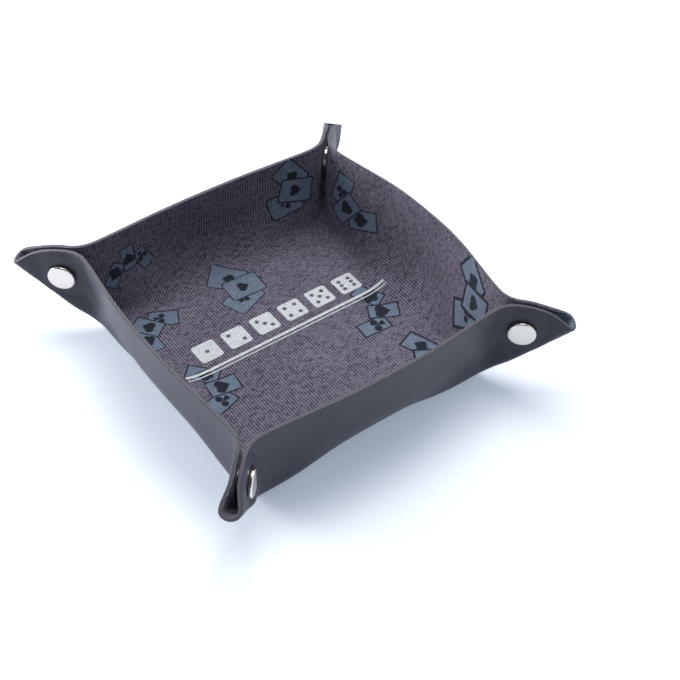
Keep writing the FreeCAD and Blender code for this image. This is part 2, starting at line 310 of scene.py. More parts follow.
    def outward(self, u: np.ndarray, v: np.ndarray) -> np.ndarray:
        """Find the glue face's normals, towards the leatherette.

        Args:
            u: flat coordinate along X.
            v: flat coordinate along Y.

        Returns:
            The unit normals, one row each.
        """
        step = self.slope_step
        du = self.glue_face(u + step, v) - self.glue_face(u - step, v)
        dv = self.glue_face(u, v + step) - self.glue_face(u, v - step)
        normal = np.cross(dv, du)
        return normal / np.linalg.norm(normal, axis=1)[:, None]


@dataclass(frozen=True)
class SheetNet:
    """The lines that the sheet's mesh is drawn with, on the flat sheet, in millimetres.

    Rings run round the tray, and columns run from a wall's middle to the ridge of an ear.
    """

    form: SheetForm
    floor_step: float = 6.0
    floor_reach: float = 42.0
    bend_step: float = 1.6
    last_line: float = 86.0
    opening_line: float = 62.0
    steps_to_edge: int = 13
    edge_inset: float = 0.3
    wall_columns: int = 26
    crease_columns: int = 9
    loop_columns: int = 18
    loop_line: float = 9.0
    crease_before: float = 2.5
    crease_after: float = 3.2
    ear_root: float = 8.0

    def columns(self, along: float) -> np.ndarray:
        """Find where the columns cross a ring.

        Args:
            along: the ring's distance from the tray's middle.

        Returns:
            Their distances across, from a wall's middle to the ridge.
        """
        form = self.form
        if along < self.floor_reach:
            return self.columns(self.floor_reach) * along / self.floor_reach
        crease = form.floor_half + (along - form.floor_half) * math.tan(form.crease)
        ear = math.hypot(self.ear_root, max(along - crease, 0.0))
        room = min(ear / (self.loop_line * ROOT2 + 2 * self.crease_after), 1.0)
        crease = along - ear
        near = crease - self.crease_before * room
        loop = along - self.loop_line * ROOT2 * room
        return np.concatenate([
            np.linspace(0.0, near, self.wall_columns)[:-1],
            np.linspace(near, loop, self.crease_columns)[:-1],
            np.linspace(loop, along, self.loop_columns),
        ])

    def edge_of_columns(self) -> np.ndarray:
        """Find where each column runs off the sheet.

        Returns:
            One distance from the tray's middle for each column.
        """
        form = self.form
        middle = form.half - form.corner_round
        count = len(self.columns(form.half))
        edges = np.zeros(count)
        for column in range(count):
            inside, outside = self.last_line, form.half + form.leather
            while outside - inside > TINY:
                along = (inside + outside) / 2
                across = self.columns(along)[column]
                on_sheet = along <= form.half and (
                    across < middle or math.hypot(along - middle, across - middle) < form.corner_round)
                inside, outside = (along, outside) if on_sheet else (inside, along)
            edges[column] = inside
        return edges

    def half_wall(self) -> np.ndarray:
        """Lay the net over half a wall.

        Returns:
            The (along, across) points on the flat sheet, ring by ring.
        """
        bend_lines = np.arange(self.opening_line, self.floor_reach, -self.bend_step)[::-1]
        outer_lines = np.arange(self.opening_line, self.last_line, self.bend_step)[1:]
        lines = np.concatenate([
            np.arange(self.floor_step, self.floor_reach, self.floor_step), bend_lines, outer_lines])
        rings = []
        for line in lines:
            across = self.columns(line)
            rings.append(np.stack([np.full_like(across, line), across], axis=1))
        last = lines[-1]
        edges = self.edge_of_columns()
        shares = np.linspace(0.0, 1.0, self.steps_to_edge + 1)[1:-1]
        distances = [last + (edges - last) * share for share in shares]
        distances += [edges - self.edge_inset, edges]
        for distance in distances:
            across = [self.columns(along)[column] for column, along in enumerate(distance)]
            rings.append(np.stack([distance, across], axis=1))
        return np.array(rings)

    def rings(self) -> np.ndarray:
        """Lay the net over the whole sheet.

        Returns:
            Closed rings of points, anticlockwise from the front right ridge.
        """
        turns = (((1, 0), (0, 1)), ((0, -1), (1, 0)), ((-1, 0), (0, -1)), ((0, 1), (-1, 0)))
        rings = []
        for ring in self.half_wall():
            mirrored = ring[:0:-1] * (1, -1)
            wall = np.concatenate([mirrored, ring[:-1]])
            rings.append(np.concatenate([wall @ np.array(turn).T for turn in turns]))
        return np.array(rings)

    def opening_ring(self) -> int:
        """Give the ring from which outwards an ear's half is a piece of its own."""
        first = np.array([ring[0, 0] for ring in self.half_wall()])
        return int(np.argmin(np.abs(first - self.opening_line)))


# Nodes


@dataclass(frozen=True, eq=False)
class Output:
    """A node's output, which further nodes go on from."""

    graph: "Graph"
    socket: bpy.types.NodeSocket


def number_node(operation: str) -> "Callable[..., Number]":
    """Give a method that adds a Math node and gives its number."""
    return lambda self, *others: calculate(operation, self, *others)


class Number(Output):
    """A number at each place of a surface. Its signs add Math nodes."""

    __add__ = number_node("ADD")
    __sub__ = number_node("SUBTRACT")
    __mul__ = __rmul__ = number_node("MULTIPLY")
    __truediv__ = number_node("DIVIDE")
    __mod__ = number_node("MODULO")
    __lt__ = number_node("LESS_THAN")
    __gt__ = number_node("GREATER_THAN")
    __abs__ = number_node("ABSOLUTE")
    __floor__ = number_node("FLOOR")

    def __rsub__(self, other: float) -> "Number":
        """Subtract from a plain number."""
        return calculate("SUBTRACT", other, self)

    def step(self, low: float, high: float) -> "Number":
        """Step softly between two numbers.

        Args:
            low: the number that gives 0.
            high: the number that gives 1, which may be the lower one.

        Returns:
            The share, from 0 to 1.
        """
        flip = low > high
        node = self.graph.node("MapRange", {
            "Value": self, "From Min": min(low, high), "From Max": max(low, high),
            "To Min": float(flip), "To Max": float(not flip),
        }, interpolation_type="SMOOTHSTEP")
        return Number(self.graph, node.outputs[0])

    def mix(self, first: "Output | Colour", second: "Output | Colour") -> Output:
        """Mix two colours.

        Args:
            first: the colour where the number is 0.
            second: the colour where the number is 1.

        Returns:
            The mixed colour.
        """
        factor, colour_a, colour_b, mixed = 0, 6, 7, 2
        inputs = {factor: self, colour_a: first, colour_b: second}
        node = self.graph.node("Mix", inputs, data_type="RGBA")
        return Output(self.graph, node.outputs[mixed])


Term = Number | float


def calculate(operation: str, *terms: Term, clamp: bool = False) -> Number:
    """Add a Math node.

    Args:
        operation: its operation.
        terms: its inputs, in order.
        clamp: keeps the result between 0 and 1.

    Returns:
        Its output.
    """
    graph = next(term.graph for term in terms if isinstance(term, Number))
    node = graph.node("Math", dict(enumerate(terms)), operation=operation, use_clamp=clamp)
    return Number(graph, node.outputs[0])


def smaller(first: Term, second: Term) -> Number:
    """Give the smaller of two numbers."""
    return calculate("MINIMUM", first, second)


def larger(first: Term, second: Term) -> Number:
    """Give the larger of two numbers."""
    return calculate("MAXIMUM", first, second)


def place_node(operation: str) -> "Callable[..., Place]":
    """Give a method that adds a Vector Math node and gives its place."""
    return lambda self, *others: Place(self.graph, self.work(operation, *others).outputs["Vector"])


def measure_node(operation: str) -> "Callable[..., Number]":
    """Give a method that adds a Vector Math node and gives its number."""
    return lambda self, *others: Number(self.graph, self.work(operation, *others).outputs["Value"])


class Place(Output):
    """A place or a direction. Its signs add Vector Math nodes, each number with its own."""

    __add__ = place_node("ADD")
    __sub__ = place_node("SUBTRACT")
    __mul__ = place_node("MULTIPLY")
    __abs__ = place_node("ABSOLUTE")
    __floor__ = place_node("FLOOR")
    at_least = place_node("MAXIMUM")
    length = measure_node("LENGTH")
    distance = measure_node("DISTANCE")
    dot = measure_node("DOT_PRODUCT")

    def work(self, operation: str, *others: "Place | Colour") -> bpy.types.Node:
        """Add a Vector Math node."""
        return self.graph.node("VectorMath", dict(enumerate((self, *others))), operation=operation)

    def scaled(self, factor: Term) -> "Place":
        """Multiply all three numbers by one."""
        node = self.graph.node("VectorMath", {0: self, "Scale": factor}, operation="SCALE")
        return Place(self.graph, node.outputs["Vector"])

    def split(self) -> tuple[Number, Number]:
        """Give the first two numbers."""
        node = self.graph.node("SeparateXYZ", {0: self})
        return Number(self.graph, node.outputs[0]), Number(self.graph, node.outputs[1])

    def noise(self, scale: float, detail: float = 2.0, roughness: float = 0.5) -> Number:
        """Give smooth noise, about 0.5, at the place scaled by a number."""
        node = self.graph.node("TexNoise", {
            "Vector": self, "Scale": scale, "Detail": detail, "Roughness": roughness})
        return Number(self.graph, node.outputs[0])


def join(x: Number, y: Number) -> Place:
    """Give the place (x, y, 0)."""
    return Place(x.graph, x.graph.node("CombineXYZ", {0: x, 1: y}).outputs[0])


class Graph:
    """A node tree that is filled from nothing."""

    def __init__(self, tree: bpy.types.NodeTree) -> None:
        """Empty the node tree.

        Args:
            tree: the node tree.
        """
        self.tree = tree
        tree.nodes.clear()

    def node(
        self, kind: str, inputs: "dict[int | str, Output | Colour | float] | None" = None,
        **settings: "str | bool",
    ) -> bpy.types.Node:
        """Add a node.

        Args:
            kind: its type.
            inputs: what goes into its inputs, by their number or name.
            settings: its settings.

        Returns:
            The node.
        """
        node = self.tree.nodes.new(f"ShaderNode{kind}")
        for name, value in settings.items():
            setattr(node, name, value)
        for key, value in (inputs or {}).items():
            self.feed(node.inputs[key], value)
        return node

    def feed(self, target: bpy.types.NodeSocket, value: "Output | Colour | float") -> None:
        """Link an output to an input, or set the input to a plain value.

        Args:
            target: the input.
            value: the output or the plain value.
        """
        if isinstance(value, Output):
            self.tree.links.new(value.socket, target)
        elif isinstance(value, tuple) and target.type == "RGBA":
            target.default_value = (*value, 1.0)
        else:
            target.default_value = value

    def place(self, kind: str = "Object") -> Place:
        """Give the place in the object's own frame, in metres, or the sky's direction."""
        return Place(self, self.node("TexCoord").outputs[kind])

    def rays(self, *kinds: str) -> Number:
        """Tell some rays from the others.

        Args:
            kinds: the kinds of rays.

        Returns:
            1 for those kinds, and 0 for the others.
        """
        path = self.node("LightPath")
        total, *others = (Number(self, path.outputs[f"Is {kind} Ray"]) for kind in kinds)
        for other in others:
            total = larger(total, other)
        return total


SEEN_RAYS = ("Camera", "Glossy", "Transmission")


class Shader(Graph):
    """A material's node tree, with a Principled shader."""

    def __init__(self, name: str) -> None:
        """Start the material.

        Args:
            name: the material's name.
        """
        self.material = bpy.data.materials.new(name)
        self.material.use_nodes = True
        super().__init__(self.material.node_tree)
        self.surface = self.node("BsdfPrincipled")
        self.node("OutputMaterial", {"Surface": Output(self, self.surface.outputs["BSDF"])})

    def set(self, **values: "Output | Colour | float") -> None:
        """Set the Principled shader's inputs, with underscores for spaces in their names."""
        for name, value in values.items():
            self.feed(self.surface.inputs[name.replace("_", " ")], value)

    def bump(self, height: Number, depth: float, strength: float) -> None:
        """Give the surface a relief.

        Args:
            height: the relief, from 0 to 1.
            depth: how deep 0 to 1 is, in metres.
            strength: share of the relief that shows.
        """
        node = self.node("Bump", {"Strength": strength, "Distance": depth, "Height": height})
        self.set(Normal=Output(self, node.outputs[0]))

    def flat_place(self, width: float) -> Place:
        """Give the place on the flat sheet, from its middle.

        Args:
            width: the flat sheet's side, in the unit of the result.

        Returns:
            The place.
        """
        node = self.node("UVMap", uv_map=UV_NAME)
        return (Place(self, node.outputs[0]) - MIDDLE).scaled(width)


# Finishes


@dataclass(frozen=True)
class Leatherette:
    """Smooth matte leatherette, blue-black, with a very fine grain.

    Scales are in waves across the sheet.
    """

    colour: Colour = (0.038, 0.041, 0.061)
    worn: Colour = (0.051, 0.055, 0.078)
    wear: Pair = (0.35, 0.70)
    cloud_scale: float = 9.0
    cloud_share: float = 0.7
    fine_scale: float = 170.0
    roughness: float = 0.37
    fine_roughness: float = 0.14
    gloss: float = 0.36
    grain_scale: float = 420.0
    grain_fine: float = 0.8
    grain_depth: float = 0.00006
    grain_strength: float = 0.35

    def make(self) -> bpy.types.Material:
        """Make the material.

        Returns:
            The material.
        """
        shader = Shader("leatherette")
        place = shader.flat_place(1.0)
        fine = place.noise(self.fine_scale)
        cloud = place.noise(self.cloud_scale, detail=3.0)
        tone = cloud * self.cloud_share + fine * (1 - self.cloud_share)
        shader.set(
            Base_Color=tone.step(*self.wear).mix(self.colour, self.worn),
            Roughness=fine * self.fine_roughness + self.roughness,
            Specular_IOR_Level=self.gloss,
        )
        cells = shader.node("TexVoronoi", {"Vector": place, "Scale": self.grain_scale})
        grain = Number(shader, cells.outputs["Distance"]) + fine * self.grain_fine
        shader.bump(grain, self.grain_depth, self.grain_strength)
        return shader.material


@dataclass(frozen=True)
class CutEdge:
    """The cut edge of a sheet: paler than its face, and slightly fibrous."""

    name: str
    colour: Colour
    pale: Colour
    fibre_scale: float = 1500.0
    fibre_roughness: float = 0.7
    fibre_tone: Pair = (0.3, 0.7)
    roughness: float = 0.85
    gloss: float = 0.25
    fibre_depth: float = 0.00008
    fibre_strength: float = 0.6

    def make(self) -> bpy.types.Material:
        """Make the material.

        Returns:
            The material.
        """
        shader = Shader(self.name)
        fibres = shader.place().noise(self.fibre_scale, detail=3.0, roughness=self.fibre_roughness)
        shader.set(
            Base_Color=fibres.step(*self.fibre_tone).mix(self.colour, self.pale),
            Roughness=self.roughness,
            Specular_IOR_Level=self.gloss,
        )
        shader.bump(fibres, self.fibre_depth, self.fibre_strength)
        return shader.material


def rounded_box(place: Place, half_x: float, half_y: float, radius: float) -> Number:
    """Measure the distance to a rounded rectangle about the origin.

    Args:
        place: where it is measured.
        half_x: half its width, less the rounding.
        half_y: half its height, less the rounding.
        radius: the rounding of its corners.

    Returns:
        The distance, negative inside.
    """
    away = abs(place) - (half_x, half_y, 0.0)
    outside = away.at_least(ORIGIN).length()
    return outside + smaller(larger(*away.split()), 0.0) - radius


@dataclass(frozen=True)
class Suits:
    """Suit signs as signed distances, negative inside. All other sizes are shares of the side."""

    side: float = 4.0
    foot_top: float = 0.1
    foot_bottom: float = 1.12
    flare_from: float = 0.15
    flare: float = 0.38
    waist: float = 0.04
    lobe: float = 0.38
    lobes_out: float = 0.42
    lobes_down: float = 0.18
    lobe_up: float = 0.46

    def heart(self, place: Place) -> Number:
        """Draw a heart: a square on its corner, and a half circle on each upper side.

        Args:
            place: where it is measured.

        Returns:
            The distance.
        """
        across, up = abs(place).split()
        square = (across + up - self.side / ROOT2) * (1 / ROOT2)
        lobe_at = self.side / (2 * ROOT2)
        lobe = join(across, place.split()[1]).distance((lobe_at, lobe_at, 0.0)) - self.side / 2
        return smaller(square, lobe)

    def foot(self, place: Place) -> Number:
        """Draw the foot that a spade or a club stands on.

        Args:
            place: where it is measured.

        Returns:
            The distance.
        """
        x, y = place.split()
        half_width = larger((y + self.side * self.flare_from) * -self.flare, self.side * self.waist)
        ends = larger(y + self.side * self.foot_top, -self.side * self.foot_bottom - y)
        return larger(abs(x) - half_width, ends)

    def spade(self, place: Place) -> Number:
        """Draw a spade: a heart upside down, and a foot."""
        return smaller(self.heart(place * (1.0, -1.0, 0.0)), self.foot(place))

    def club(self, place: Place) -> Number:
        """Draw a club: three lobes and a foot.

        Args:
            place: where it is measured.

        Returns:
            The distance.
        """
        x, y = place.split()
        beside = (self.side * self.lobes_out, -self.side * self.lobes_down, 0.0)
        above = (0.0, self.side * self.lobe_up, 0.0)
        lobes = smaller(join(abs(x), y).distance(beside), place.distance(above))
        return smaller(lobes - self.side * self.lobe, self.foot(place))


@dataclass(frozen=True)
class PrintedLiner:
    """Ribbed fabric with a printed pattern: fans of three cards, a row of pips and two rules, with
    painted shade in the grooves between the ribs.

    Lengths are in millimetres on the flat sheet.
    """

    width: float = 215.0
    rib: Colour = (0.200, 0.184, 0.242)
    # Painted shade: the near-black colour given to the grooves between the ribs.
    groove_shade: Colour = (0.025, 0.020, 0.034)
    slate: Colour = (0.190, 0.238, 0.320)
    ink: Colour = (0.016, 0.020, 0.032)
    white: Colour = (0.80, 0.83, 0.86)
    rib_pitch: float = 1.3
    rib_share: float = 0.55
    dash_length: float = 1.7
    dash_share: float = 1.25
    dash_shift: float = 7.3
    thread_scale: float = 1.7
    thread_roughness: float = 0.6
    thread_share: float = 0.45
    lit_from: Pair = (0.70, 1.36)
    cloud_scale: float = 0.045
    cloud_tone: Pair = (0.2, 0.8)
    cloud_lift: float = 1.16
    # Painted shade: how much of the print's colour and the white's colour is kept in the grooves.
    print_in_shade: float = 0.55
    white_in_shade: float = 0.70
    roughness: float = 0.88
    gloss: float = 0.22
    sheen: float = 0.12
    sheen_roughness: float = 0.45
    thread_relief: float = 0.3
    rib_depth: float = 0.00016
    rib_strength: float = 0.75
    print_soft: float = 0.12
    cell: float = 43.0
    cell_shift: float = 40.5
    fan_wander: float = 0.22
    fan_size: Pair = (0.74, 0.4)
    fans_left_out: float = 0.30
    card_half: Pair = (5.6, 8.2)
    card_round: float = 1.8
    outline: float = 0.34
    suit_soft: float = 0.25
    suits: Suits = Suits()
    pip_count: int = 6
    pip_row: float = 20.0
    pip_start: float = -39.0
    pip_pitch: float = 15.5
    pip_half: float = 4.2
    pip_round: float = 1.5
    pip_radius: float = 1.05
    pip_soft: float = 0.1
    pip_off: float = 2.7
    rules: tuple[Pair, ...] = ((9.6, 0.55), (7.4, 0.12))
    rule_middle: float = 6.0
    rule_half: float = 55.0
    rule_round: float = 0.15

    def inside(self, distance: Number, margin: float = 0.0) -> Number:
        """Give 1 inside a printed form, grown by a margin, and 0 outside."""
        return distance.step(margin + self.print_soft, margin - self.print_soft)

    def cards(self, place: Place) -> tuple[Number, Number]:
        """Lay one fan of cards in each cell of a loose grid.

        Args:
            place: the place on the flat sheet.

        Returns:
            How much print covers the place, and how much of the print is dark ink there.
        """
        graph = place.graph
        grid = place.scaled(1 / self.cell) + (self.cell_shift, self.cell_shift, 0.0)
        cell = math.floor(grid)
        chances = graph.node("TexWhiteNoise", {"Vector": cell}, noise_dimensions="2D")
        chance = Number(graph, chances.outputs["Value"])
        colour = Place(graph, chances.outputs["Color"])
        wander = (colour - (0.5, 0.5, 0.5)).scaled(self.cell * self.fan_wander)
        within = (grid - cell - MIDDLE).scaled(self.cell) - wander
        turned = graph.node(
            "VectorRotate", {"Vector": within, "Angle": chance * (2 * math.pi)}, rotation_type="Z_AXIS")
        least, spread = self.fan_size
        fan = Place(graph, turned.outputs[0]).scaled(colour.split()[1] * spread + least)
        cover: Term = 0.0
        ink: Term = 0.0
        hands = (
            ((-8.6, 0.8), 0.52, self.suits.club),
            ((8.4, 2.2), -0.58, self.suits.spade),
            ((-0.4, -3.4), 0.08, self.suits.heart),
        )
        for spot, angle, suit in hands:
            placed = graph.node("Mapping", {
                "Vector": fan, "Location": (*spot, 0.0), "Rotation": (0.0, 0.0, angle),
            }, vector_type="TEXTURE")
            held = Place(graph, placed.outputs[0])
            card = rounded_box(held, *self.card_half, self.card_round)
            rim = card.step(-self.outline - self.print_soft, -self.outline + self.print_soft)
            dark = larger(rim, suit(held).step(self.suit_soft, -self.suit_soft))
            here = self.inside(card, self.outline)
            ink = dark * here + ink * (1.0 - here)
            cover = larger(cover, here)
        return cover * (chance > self.fans_left_out), ink

    def whites(self, place: Place) -> Number:
        """Print the row of pip squares and the two rules under it.

        Args:
            place: the place on the flat sheet.

        Returns:
            How much white covers the place.
        """
        x, y = place.split()
        run = (x - self.pip_start) / self.pip_pitch
        number = math.floor(run)
        local_x = (run - number - 0.5) * self.pip_pitch
        local_y = y - self.pip_row
        square = rounded_box(join(local_x, local_y), self.pip_half, self.pip_half, self.pip_round)
        in_row = abs(number - (self.pip_count - 1) / 2) < self.pip_count / 2
        white = self.inside(square) * in_row
        rising = (local_x - local_y) * (1 / ROOT2)
        falling = (local_x + local_y) * (1 / ROOT2)
        corner = self.pip_off * ROOT2
        # Square number 0 has one pip, and number 5 has six.
        odd = number % 2.0 < 0.5
        spots = (
            (local_x, local_y, 0.0, odd),
            (rising, falling, corner, number > 0.5),
            (falling, rising, corner, number > 2.5),
            (local_x, local_y, self.pip_off, number > 4.5),
        )
        for across, along, off, shown in spots:
            away = join(abs(across) - off, along).length()
            spot = away.step(self.pip_radius + self.pip_soft, self.pip_radius - self.pip_soft)
            white = calculate("SUBTRACT", white, spot * shown, clamp=True)
        for centre, half_width in self.rules:
            rule_place = place - (self.rule_middle, centre, 0.0)
            rule = rounded_box(rule_place, self.rule_half, half_width, self.rule_round)
            white = larger(white, self.inside(rule))
        return white

    def make(self) -> bpy.types.Material:
        """Make the material.

        Returns:
            The material.
        """
        shader = Shader("liner_fabric")
        place = shader.flat_place(self.width)
        x, y = place.split()
        rib = calculate("COSINE", x * (2 * math.pi / self.rib_pitch)) * 0.5 + 0.5
        number = math.floor(x / self.rib_pitch + 0.5)
        dashes = join(number * self.dash_shift, y / self.dash_length).noise(1.0, detail=1.0)
        threads = place.noise(self.thread_scale, roughness=self.thread_roughness)
        weave = rib * self.rib_share + dashes * self.dash_share
        # Painted light and shade: the weave's high threads keep the rib colour, and its low ones take
        # the groove shade colour.
        lit = (weave + threads * self.thread_share).step(*self.lit_from)
        lifted = tuple(c * self.cloud_lift for c in self.rib)
        tone = place.noise(self.cloud_scale).step(*self.cloud_tone).mix(self.rib, lifted)
        cover, ink = self.cards(place)
        # Painted shade: the print and the white marks are darkened in the grooves too.
        in_light = lit * (1 - self.print_in_shade) + self.print_in_shade
        slate = in_light.mix(self.ink, ink.mix(self.slate, self.ink))
        in_light = lit * (1 - self.white_in_shade) + self.white_in_shade
        chalk = in_light.mix(self.groove_shade, self.white)
        cloth = cover.mix(lit.mix(self.groove_shade, tone), slate)
        shader.set(
            Base_Color=self.whites(place).mix(cloth, chalk),
            Roughness=self.roughness,
            Specular_IOR_Level=self.gloss,
            Sheen_Weight=self.sheen,
            Sheen_Roughness=self.sheen_roughness,
        )
        shader.bump(weave + threads * self.thread_relief, self.rib_depth, self.rib_strength)
        return shader.material


@dataclass(frozen=True)
class Nickel:
    """Nickel plate, from polished to drawn, with faint scratches."""

    name: str
    colour: Colour = (0.69, 0.655, 0.62)
    roughness: float = 0.10
    polish: float = 0.06
    dim: float = 0.94
    cloud_scale: float = 260.0
    cloud_roughness: float = 0.10
    scratch_scale: Point = (900.0, 900.0, 5200.0)
    scratch_roughness: float = 0.05
    scratch_depth: float = 0.00001
    scratch_strength: float = 0.25

    def make(self) -> bpy.types.Material:
        """Make the material.

        Returns:
            The material.
        """
        shader = Shader(self.name)
        place = shader.place()
        cloud = place.noise(self.cloud_scale, detail=3.0)
        lines = (place * self.scratch_scale).noise(1.0)
        dull = cloud * self.cloud_roughness + lines * self.scratch_roughness
        shader.set(
            Base_Color=cloud.mix(tuple(c * self.dim for c in self.colour), self.colour),
            Metallic=1.0,
            Roughness=dull + (self.roughness - self.polish),
        )
        shader.bump(lines, self.scratch_depth, self.scratch_strength)
        return shader.material


# Pieces


def new_piece(name: str, mesh: bpy.types.Mesh) -> bpy.types.Object:
    """Put a mesh in the scene as a piece, and report it.

    Args:
        name: the piece's name.
        mesh: its mesh, in metres, in the tray's frame.

    Returns:
        The object.
    """
    piece = bpy.data.objects.new(name, mesh)
    bpy.context.scene.collection.objects.link(piece)
    LOG.info("%s: %d points, %d faces", name, len(mesh.vertices), len(mesh.polygons))
    return piece


class Face(Enum):
    """Which material of a sheet a face has."""

    SKIN = 0
    EDGE = 1


@dataclass
class SheetLayer:
    """One layer of the sheet: a root piece, and a piece for the opening half of each ear.

    Offsets are in millimetres from the glue face, positive towards the leatherette. For each opening
    half, two points are worked out at two distances along blend_way, whose parts point out along the
    ear's diagonal, out through the cap, and up; nothing moves the half from the root's motion to the
    stud's between them.
    """

    name: str
    node: str
    slot: str
    inner: float
    outer: float
    inner_round: float
    outer_round: float
    form: SheetForm
    net: SheetNet
    skin: bpy.types.Material
    edge: bpy.types.Material
    blend_start: float = 60.5
    blend_end: float = 85.3
    blend_way: Point = (0.669, 0.2187, 0.7104)

    def __post_init__(self) -> None:
        """Work out the net's points, normals and rim directions once."""
        rings = self.net.rings()
        self.ring_count, self.ring_size = rings.shape[:2]
        self.flat = np.concatenate([rings.reshape(-1, 2), [[0.0, 0.0]]])
        self.glue = self.form.glue_face(*self.flat.T)
        self.normal = self.form.outward(*self.flat.T)
        grid = self.glue[:-1].reshape(self.ring_count, self.ring_size, 3)
        rim = grid[-1] - grid[-2]
        self.rim = rim / np.linalg.norm(rim, axis=1)[:, None]

    @property
    def rim_points(self) -> slice:
        """Give the numbers of the points on the rim."""
        return slice((self.ring_count - 1) * self.ring_size, self.ring_count * self.ring_size)

    def faces(self, octants: set[int], whole_floor: bool) -> Faces:
        """List a piece's faces, as seen from inside the tray.

        Args:
            octants: the eighths of the sheet whose outer part it has.
            whole_floor: true if it also has the floor, in one.

        Returns:
            The point numbers of each face.
        """
        size, split = self.ring_size, self.net.opening_ring()
        per_octant = size // OCTANTS
        centre = self.ring_count * size
        faces: Faces = []
        for k in range(size):
            after = (k + 1) % size
            if whole_floor:
                faces.append((centre, k, after))
            for ring in range(self.ring_count - 1):
                there = k // per_octant in octants if ring >= split else whole_floor
                if there:
                    low, high = ring * size, (ring + 1) * size
                    faces.append((low + k, high + k, high + after, low + after))
        return faces

    def offset_points(self, offset: float, rounding: float) -> np.ndarray:
        """Give all points moved off the glue face, with a rounded rim.

        Args:
            offset: distance off the glue face.
            rounding: how much less of it the outermost ring has.

        Returns:
            The points, in millimetres.
        """
        distance = np.full(len(self.glue), offset)
        distance[self.rim_points] -= rounding
        return self.glue + self.normal * distance[:, None]

    def mesh(self, name: str, faces: Faces) -> bpy.types.Mesh:
        """Close two skins and their edge into one mesh.

        Args:
            name: the mesh's name.
            faces: the faces of the skin, as seen from inside the tray.

        Returns:
            The mesh, in metres.
        """
        used = sorted({point for face in faces for point in face})
        index = {point: k for k, point in enumerate(used)}
        count = len(used)
        inner = self.offset_points(self.inner, -self.inner_round)[used]
        outer = self.offset_points(self.outer, self.outer_round)[used]
        points = np.concatenate([inner, outer]) * MM
        skins = [tuple(index[p] for p in face) for face in faces]
        corners = {(face[k], face[(k + 1) % len(face)]) for face in faces for k in range(len(face))}
        border = sorted(edge for edge in corners if edge[::-1] not in corners)
        walls = [(index[j], index[i], index[i] + count, index[j] + count) for i, j in border]
        all_faces = skins + [tuple(p + count for p in reversed(face)) for face in skins] + walls
        mesh = bpy.data.meshes.new(name)
        mesh.from_pydata(points.tolist(), [], all_faces)
        mesh.materials.append(self.skin)
        mesh.materials.append(self.edge)
        kinds = [Face.SKIN.value] * (2 * len(skins)) + [Face.EDGE.value] * len(walls)
        mesh.polygons.foreach_set("material_index", kinds)
        mesh.polygons.foreach_set("use_smooth", [True] * len(all_faces))
        flat = self.flat[used] / (2 * self.form.half) + 0.5
        layer = mesh.uv_layers.new(name=UV_NAME)
        corner_points = np.zeros(len(mesh.loops), np.int32)
        mesh.loops.foreach_get("vertex_index", corner_points)
        layer.data.foreach_set("uv", flat[corner_points % count].astype(np.float32).ravel())
        normals = self.corner_normals(np.array(used), corner_points, border)
        mesh.normals_split_custom_set(normals.tolist())
        mesh.update()
        return mesh

    def corner_normals(
        self, used: np.ndarray, corner_points: np.ndarray, border: list[tuple[int, int]],
    ) -> np.ndarray:
        """Give each face corner the normal of the true surface there.

        Args:
            used: the net's number of each point of one skin.
            corner_points: the mesh point of each face corner.
            border: the net's numbers of the border's edges.

        Returns:
            One vector per corner, zero where the mesh's own normal is to be kept.
        """
        count = len(used)
        first_rim, after_rim = self.rim_points.start, self.rim_points.stop
        net_points = used[corner_points % count]
        on_outer = corner_points >= count
        normals = np.where(on_outer[:, None], self.normal[net_points], -self.normal[net_points])
        on_rim = (net_points >= first_rim) & (net_points < after_rim)
        rim = self.rim[np.clip(net_points - first_rim, 0, self.ring_size - 1)]
        rounded = on_rim & np.where(on_outer, self.outer_round > 0, self.inner_round > 0)
        normals[rounded] = rim[rounded]
        corners_each = 4
        first_wall = len(corner_points) - corners_each * len(border)
        is_rim = np.repeat([min(edge) >= first_rim for edge in border], corners_each)
        normals[first_wall:] = np.where(is_rim[:, None], rim[first_wall:], 0.0)
        return normals

    def build(self) -> None:
        """Build the root piece, then the opening half of each ear."""
        opening = {ear.opening_octant for ear in EARS}
        root_faces = self.faces(set(range(OCTANTS)) - opening, True)
        root = new_piece(f"{self.name}_body", self.mesh(f"{self.name}_body", root_faces))
        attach(root, "root")
        self.declare()
        for ear in EARS:
            faces = self.faces({ear.opening_octant}, False)
            name = f"{self.name}_flank_{ear.name}"
            flank = new_piece(name, self.mesh(name, faces))
            out, through_cap, up = self.blend_way
            along = ear.diagonal() * out + ear.cap_side() * through_cap + np.array([0.0, 0.0, up])
            lift = np.array([0.0, 0.0, self.form.leather])
            start, end = ((along * f + lift) * MM for f in (self.blend_start, self.blend_end))
            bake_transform(flank)
            self.declare()

    def declare(self) -> None:
        """Hide the imported part that the layer stands for.
        """
        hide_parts(self.node)


def arc(x: float, y: float, radii: Pair | float, start: float, end: float, steps: int) -> Profile:
    """Give points on an elliptic arc.

    Args:
        x: its centre's place across.
        y: its centre's place up.
        radii: its two half axes, or its radius.
        start: angle of the first point, in degrees.
        end: angle of the last point, in degrees.
        steps: how many stretches it has.

    Returns:
        The points, from start to end.
    """
    across, up = radii if isinstance(radii, tuple) else (radii, radii)
    angles = [math.radians(start + (end - start) * k / steps) for k in range(steps + 1)]
    return [(x + across * math.cos(angle), y + up * math.sin(angle)) for angle in angles]


